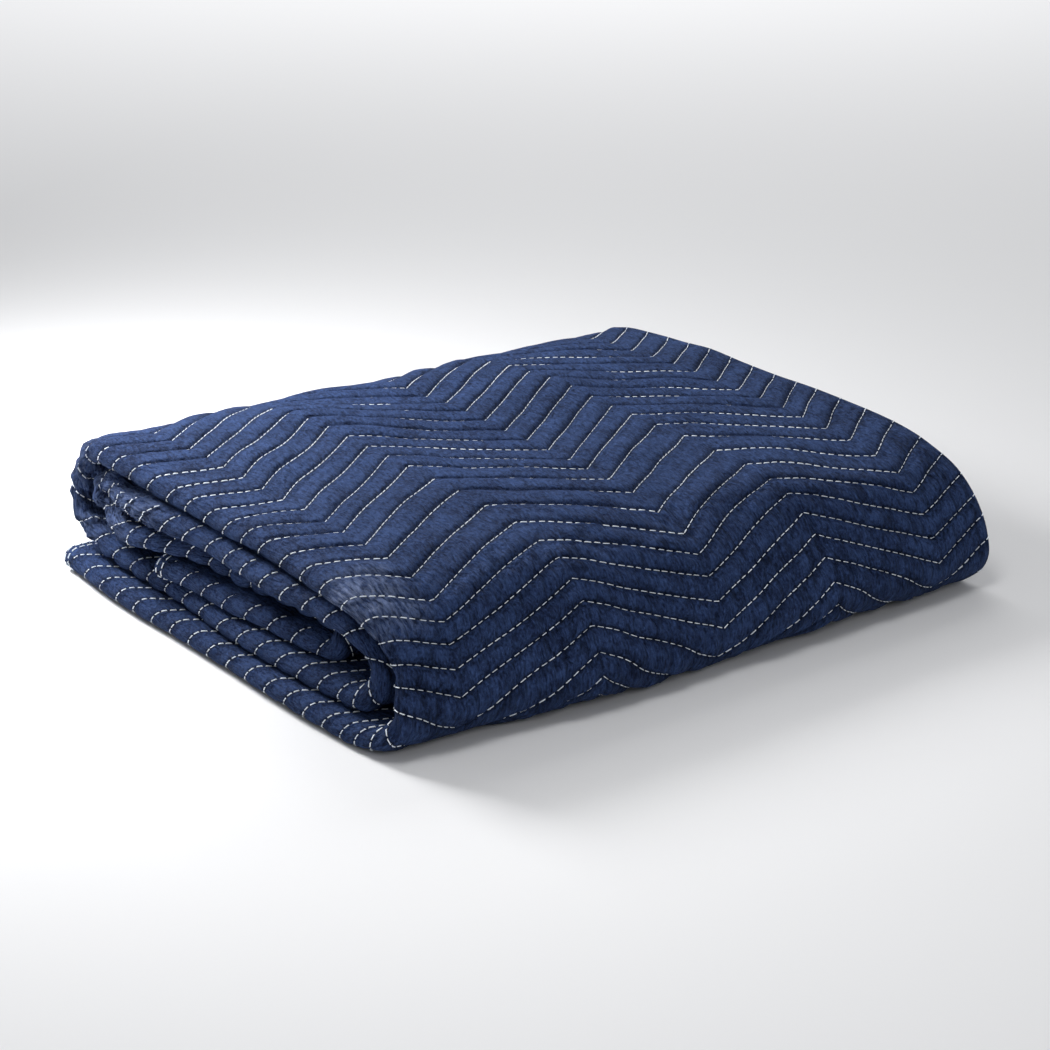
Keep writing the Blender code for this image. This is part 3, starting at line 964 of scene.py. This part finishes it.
def cloth_material():
    """Brushed non-woven cloth: felted fibres, patches of smoother cloth with a painted sheen, painted shade in the
    stitched grooves, and painted shade in the creases where it bunches.
    """
    material, tree, shader = new_material("navy_quilted_cloth")
    links = tree.links
    shader.inputs["Specular IOR Level"].default_value = 0.09
    shader.inputs["Specular Tint"].default_value = (0.6, 0.75, 1.0, 1)
    shader.inputs["Sheen Weight"].default_value = 0.05
    shader.inputs["Sheen Roughness"].default_value = 0.5
    shader.inputs["Sheen Tint"].default_value = (0.3, 0.5, 1.0, 1)
    spot = node(tree, "ShaderNodeAttribute", attribute_name="on_cloth")
    near_row = node(tree, "ShaderNodeAttribute", attribute_name="near_row")
    smoother_with_sheen = node(tree, "ShaderNodeAttribute", attribute_name="sheen_and_smooth")
    pushed = node(tree, "ShaderNodeAttribute", attribute_name="bunched")
    place_in = node(tree, "ShaderNodeTexCoord")

    def noise(source, scale, detail, roughness=0.5, distortion=0.0):
        made = node(tree, "ShaderNodeTexNoise")
        made.inputs["Scale"].default_value = scale
        made.inputs["Detail"].default_value = detail
        made.inputs["Roughness"].default_value = roughness
        made.inputs["Distortion"].default_value = distortion
        links.new(source, made.inputs["Vector"])
        return made.outputs["Fac"]

    def scaled(source, scale):
        made = node(tree, "ShaderNodeMapping")
        made.inputs["Scale"].default_value = scale
        links.new(source, made.inputs["Vector"])
        return made.outputs["Vector"]

    def sums(operation, one, two, three=None):
        made = node(tree, "ShaderNodeMath", operation=operation)
        for index, value in enumerate((one, two, three)):
            if isinstance(value, (int, float)):
                made.inputs[index].default_value = value
            elif value is not None:
                links.new(value, made.inputs[index])
        return made.outputs[0]

    def between(source, start, end):
        """0 at the start value and 1 at the end value, with a smooth step."""
        made = node(tree, "ShaderNodeMapRange", interpolation_type="SMOOTHSTEP")
        made.inputs["From Min"].default_value = start
        made.inputs["From Max"].default_value = end
        links.new(source, made.inputs["Value"])
        return made.outputs["Result"]

    def bump(height, strength, distance, before=None):
        made = node(tree, "ShaderNodeBump")
        made.inputs["Strength"].default_value = strength
        made.inputs["Distance"].default_value = distance
        links.new(height, made.inputs["Height"])
        if before is not None:
            links.new(before, made.inputs["Normal"])
        return made.outputs["Normal"]

    cloth_spot = spot.outputs["Vector"]
    room_spot = place_in.outputs["Object"]
    fibres = noise(scaled(cloth_spot, (1, 0.35, 1)), 900, 3, 0.7)
    felt = noise(room_spot, 520, 4, 0.7)
    patches = noise(room_spot, 26, 4, 0.6)
    mottle = noise(room_spot, 95, 3, 0.6)
    # Gathers run across the channels: deep where the cloth is pushed together, and short beside the stitched rows
    push = pushed.outputs["Fac"]
    gathers = noise(scaled(cloth_spot, (165, 42, 165)), 1.0, 2, 0.55, 0.8)
    fine_gathers = noise(scaled(cloth_spot, (430, 120, 430)), 1.0, 3, 0.6, 0.4)
    puckers = noise(scaled(cloth_spot, (300, 70, 300)), 1.0, 1, 0.5, 0.3)
    groove = between(near_row.outputs["Fac"], 0.66, 1.0)
    beside_row = between(near_row.outputs["Fac"], 0.25, 0.85)
    deep = sums("MULTIPLY", gathers, sums("MULTIPLY_ADD", push, 0.8, 0.2))
    short = sums("MULTIPLY", sums("MULTIPLY", puckers, beside_row), sums("MULTIPLY_ADD", push, 0.4, 0.6))
    # Painted shade: a darker colour in the creases where the cloth bunches, in the stitched grooves and beside the
    # rows' puckers
    painted_shade = sums("MULTIPLY", between(gathers, 0.45, 0.34), sums("MULTIPLY_ADD", push, 0.5, 0.05))
    painted_shade = sums("MAXIMUM", painted_shade, sums("MULTIPLY", groove, 0.9))
    pucker_shade = sums("MULTIPLY", between(puckers, 0.5, 0.36), sums("MULTIPLY", beside_row, 0.6))
    painted_shade = sums("MAXIMUM", painted_shade, pucker_shade)
    # Colour
    shade = sums("MULTIPLY_ADD", fibres, 0.35, sums("MULTIPLY_ADD", patches, 0.15, sums("MULTIPLY", mottle, 0.15)))
    shade = sums("MULTIPLY_ADD", felt, 0.2, sums("MULTIPLY_ADD", fine_gathers, 0.15, shade))
    shades = node(tree, "ShaderNodeValToRGB")
    set_ramp(shades, ((0.43, DARK_NAVY), (0.57, PALE_NAVY)))
    links.new(shade, shades.inputs["Fac"])
    # The painted shade multiplied into the cloth's colour
    with_painted_shade = node(tree, "ShaderNodeMix", data_type="RGBA", blend_type="MULTIPLY")
    links.new(painted_shade, with_painted_shade.inputs["Factor"])
    links.new(shades.outputs["Color"], with_painted_shade.inputs[6])
    with_painted_shade.inputs[7].default_value = (*PAINTED_CREASE_SHADE, 1)
    # Painted sheen: a paler colour where the cloth is smoother, broken up by the fine gathers; the same places are
    # also less rough
    shine = sums("MULTIPLY", smoother_with_sheen.outputs["Fac"], between(fine_gathers, 0.3, 0.68))
    with_painted_sheen = node(tree, "ShaderNodeMix", data_type="RGBA", blend_type="MIX")
    links.new(sums("MULTIPLY", shine, 0.62), with_painted_sheen.inputs["Factor"])
    links.new(with_painted_shade.outputs[2], with_painted_sheen.inputs[6])
    with_painted_sheen.inputs[7].default_value = (*PAINTED_SHEEN, 1)
    links.new(with_painted_sheen.outputs[2], shader.inputs["Base Color"])
    links.new(sums("MULTIPLY_ADD", shine, -0.45, 0.85), shader.inputs["Roughness"])
    # Relief
    normal = bump(felt, 0.8, 0.0016)
    normal = bump(fibres, 0.7, 0.0011, normal)
    normal = bump(fine_gathers, 1.0, 0.0038, normal)
    normal = bump(deep, 1.0, 0.0075, normal)
    normal = bump(short, 1.0, 0.0045, normal)
    links.new(normal, shader.inputs["Normal"])
    return material


def thread_material():
    """Twisted thread, white with a cool tint."""
    material, tree, shader = new_material("white_thread")
    shader.inputs["Roughness"].default_value = 0.7
    shader.inputs["Sheen Weight"].default_value = 0.2
    place_in = node(tree, "ShaderNodeTexCoord")
    twist = node(tree, "ShaderNodeTexNoise")
    twist.inputs["Scale"].default_value = 900
    tree.links.new(place_in.outputs["Object"], twist.inputs["Vector"])
    shades = node(tree, "ShaderNodeValToRGB")
    set_ramp(shades, ((0.3, DARK_THREAD), (0.6, PALE_THREAD)))
    tree.links.new(twist.outputs["Fac"], shades.inputs["Fac"])
    tree.links.new(shades.outputs["Color"], shader.inputs["Base Color"])
    bump = node(tree, "ShaderNodeBump")
    bump.inputs["Strength"].default_value = 0.4
    bump.inputs["Distance"].default_value = 0.0002
    tree.links.new(twist.outputs["Fac"], bump.inputs["Height"])
    tree.links.new(bump.outputs["Normal"], shader.inputs["Normal"])
    return material


def floor_material():
    material, _, shader = new_material("pale_floor")
    shader.inputs["Base Color"].default_value = (*FLOOR_COLOUR, 1)
    shader.inputs["Roughness"].default_value = 0.9
    return material


# The camera, as fitted to the photo with the gap between stitched rows as the unit
CAMERA_AZIMUTH = np.radians(-37.96)
CAMERA_ELEVATION = np.radians(20.51)
CAMERA_DISTANCE = 69.54
CAMERA_RIGHT = 8.44
CAMERA_UP = -1.68
CAMERA_ORIGIN = (-8.25, 2.67, 4.55)
FOCAL_SHARE = 2503 / 1050
SENSOR = 36


def make_camera():
    back = np.array([
        np.sin(CAMERA_AZIMUTH) * np.cos(CAMERA_ELEVATION),
        -np.cos(CAMERA_AZIMUTH) * np.cos(CAMERA_ELEVATION),
        np.sin(CAMERA_ELEVATION),
    ])
    right = np.array([np.cos(CAMERA_AZIMUTH), np.sin(CAMERA_AZIMUTH), 0])
    up = np.cross(back, right)
    origin = np.array(CAMERA_ORIGIN) * ROW_PITCH + np.array([TO_ROW_X, TO_ROW_Y, 0])
    eye = origin + (back * CAMERA_DISTANCE + right * CAMERA_RIGHT + up * CAMERA_UP) * ROW_PITCH
    data = bpy.data.cameras.new("camera")
    data.sensor_width = SENSOR
    data.lens = SENSOR * FOCAL_SHARE
    data.clip_start = 0.05
    data.clip_end = 50
    camera = linked("camera", data)
    facing = Matrix((right, up, back)).transposed().to_4x4()
    camera.matrix_world = Matrix.Translation(Vector(eye)) @ facing
    bpy.context.scene.camera = camera


# Floor and light
FLOOR_REACH = 14
FLOOR_Z = -0.5 * MM
AIMED_AT = (0, 0, 0.04)
Lamp = namedtuple("Lamp", "name at size power turned_down", defaults=(False,))
LAMPS = (
    Lamp("key", (-0.28, 0.46, 0.42), 0.22, 6.2),
    Lamp("above the front", (-0.2, -0.3, 0.75), 0.25, 1.7),
    Lamp("front of the floor", (-0.9, -2.4, 1.6), 1.5, 19, True),
    Lamp("back of the floor", (2.0, 2.6, 2.2), 3, 80, True),
)


def area_light(name, at, size, power, turned_down):
    """A square lamp that faces the blanket, or straight down."""
    data = bpy.data.lights.new(name, "AREA")
    data.shape = "SQUARE"
    data.size = size
    data.energy = power
    light = linked(name, data)
    light.location = at
    if not turned_down:
        light.rotation_mode = "QUATERNION"
        light.rotation_quaternion = (Vector(AIMED_AT) - Vector(at)).to_track_quat("-Z", "Y")


def make_floor():
    mesh = bpy.data.meshes.new("floor")
    corners = [(x * FLOOR_REACH, y * FLOOR_REACH, FLOOR_Z) for x, y in ((-1, -1), (1, -1), (1, 1), (-1, 1))]
    mesh.from_pydata(corners, [], [(0, 1, 2, 3)])
    mesh.materials.append(floor_material())
    return linked("floor", mesh)


def make_world():
    world = bpy.data.worlds.new("studio")
    world.use_nodes = True
    back = world.node_tree.nodes["Background"]
    back.inputs["Color"].default_value = (*SKY_COLOUR, 1)
    back.inputs["Strength"].default_value = SKY_STRENGTH
    bpy.context.scene.world = world


make_camera()
make_floor()
make_world()
for lamp in LAMPS:
    area_light(*lamp)
bpy.context.scene.view_settings.view_transform = "Standard"

cloth = make_cloth()
cloth.data.materials.append(cloth_material())
stitches = make_stitches()
stitches.data.materials.append(thread_material())
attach(cloth, "root")
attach(stitches, "root")
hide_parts("blanket")
